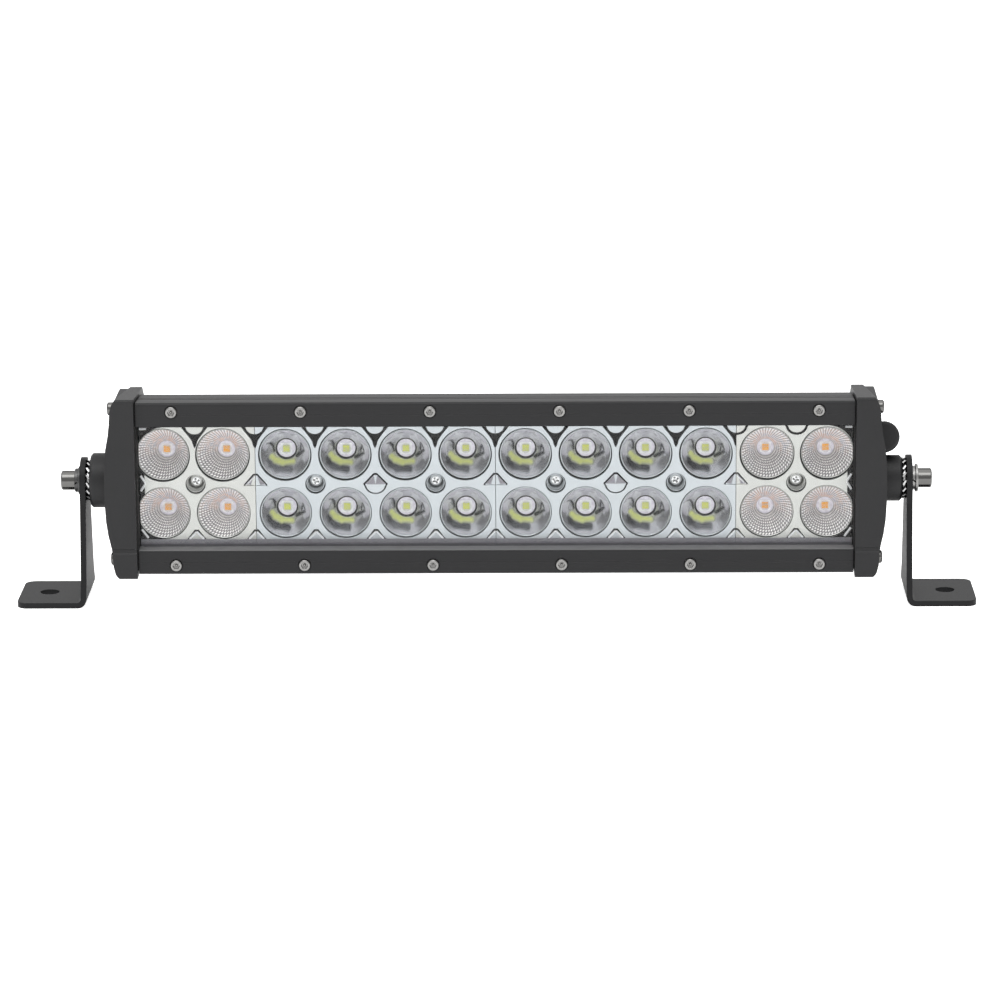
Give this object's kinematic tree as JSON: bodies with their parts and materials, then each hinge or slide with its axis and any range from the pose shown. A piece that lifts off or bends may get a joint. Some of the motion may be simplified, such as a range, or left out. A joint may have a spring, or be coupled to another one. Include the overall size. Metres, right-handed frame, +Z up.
{
  "type": "led light bar",
  "caption": "Dual-row LED light bar in a finned black aluminium housing, with bright reflector cups behind a clear lens, two end caps and two tilting L-shaped foot brackets.",
  "frame": {"origin": "midpoint between the two foot bolt holes, on the underside plane of the feet", "axes": "+X along the bar to the cable-entry end, -Y out of the lit front, +Z up from the mounting surface"},
  "size_m": [0.416, 0.0701, 0.0926],
  "materials": {
    "black_anodised": "satin",
    "black_casting": "satin",
    "black_steel": "satin",
    "stainless": "polished",
    "tooth_steel": "satin",
    "clear_lens": "gloss",
    "seal_rubber": "matte",
    "bright_reflector": "polished",
    "board_white": "matte",
    "pad_grey": "matte",
    "board_green": "satin",
    "led_package": "satin",
    "phosphor_yellow": "satin",
    "phosphor_amber": "satin",
    "led_silicone": "gloss",
    "brass_spacer": "satin",
    "component_black": "satin",
    "black_nylon": "satin",
    "cable_jacket": "satin",
    "lead_insulation": "satin"
  },
  "bodies": {
    "left_bracket": {"left_bracket": "black_steel"},
    "light_head": {"amber_led_bases": "led_package", "amber_led_dies": "phosphor_amber", "amber_led_domes": "led_silicone", "bottom_bezel_screws": "stainless", "bottom_bezel_strip": "black_anodised", "cable_leads": "lead_insulation", "driver_board": "board_green", "driver_capacitors": "component_black", "driver_chips": "component_black", "driver_inductors": "component_black", "driver_screws": "stainless", "driver_spacers": "brass_spacer", "gland_nut": "black_nylon", "gland_seal": "seal_rubber", "housing": "black_anodised", "led_board": "board_white", "led_wires": "lead_insulation", "left_amber_reflector": "bright_reflector", "left_cap_gasket": "seal_rubber", "left_cap_screws": "stainless", "left_end_cap": "black_casting", "left_flat_washer": "stainless", "left_pivot_bolt": "stainless", "left_spring_washer": "stainless", "left_tooth_washer": "tooth_steel", "left_white_reflector": "bright_reflector", "lens": "clear_lens", "lens_seals": "seal_rubber", "power_cable": "cable_jacket", "reflector_screws": "stainless", "right_amber_reflector": "bright_reflector", "right_cap_gasket": "seal_rubber", "right_cap_screws": "stainless", "right_end_cap": "black_casting", "right_flat_washer": "stainless", "right_pivot_bolt": "stainless", "right_spring_washer": "stainless", "right_tooth_washer": "tooth_steel", "right_white_reflector": "bright_reflector", "supply_wires": "lead_insulation", "thermal_pad": "pad_grey", "top_bezel_screws": "stainless", "top_bezel_strip": "black_anodised", "white_led_bases": "led_package", "white_led_dies": "phosphor_yellow", "white_led_domes": "led_silicone"},
    "right_bracket": {"right_bracket": "black_steel"}
  },
  "joints": [
    {"name": "head_tilt", "type": "hinge", "parent": "left_bracket", "child": "light_head", "pos_m": [0, 0, 0.0528], "axis": [1, 0, 0], "range_deg": [-90, 90]},
    {"name": "right_bracket_pivot", "type": "hinge", "parent": "light_head", "child": "right_bracket", "pos_m": [0, 0, 0.0528], "axis": [1, 0, 0], "range_deg": [-90, 90]}
  ],
  "couplings": [
    {"joint": "right_bracket_pivot", "follows": "head_tilt", "ratio": -1}
  ]
}
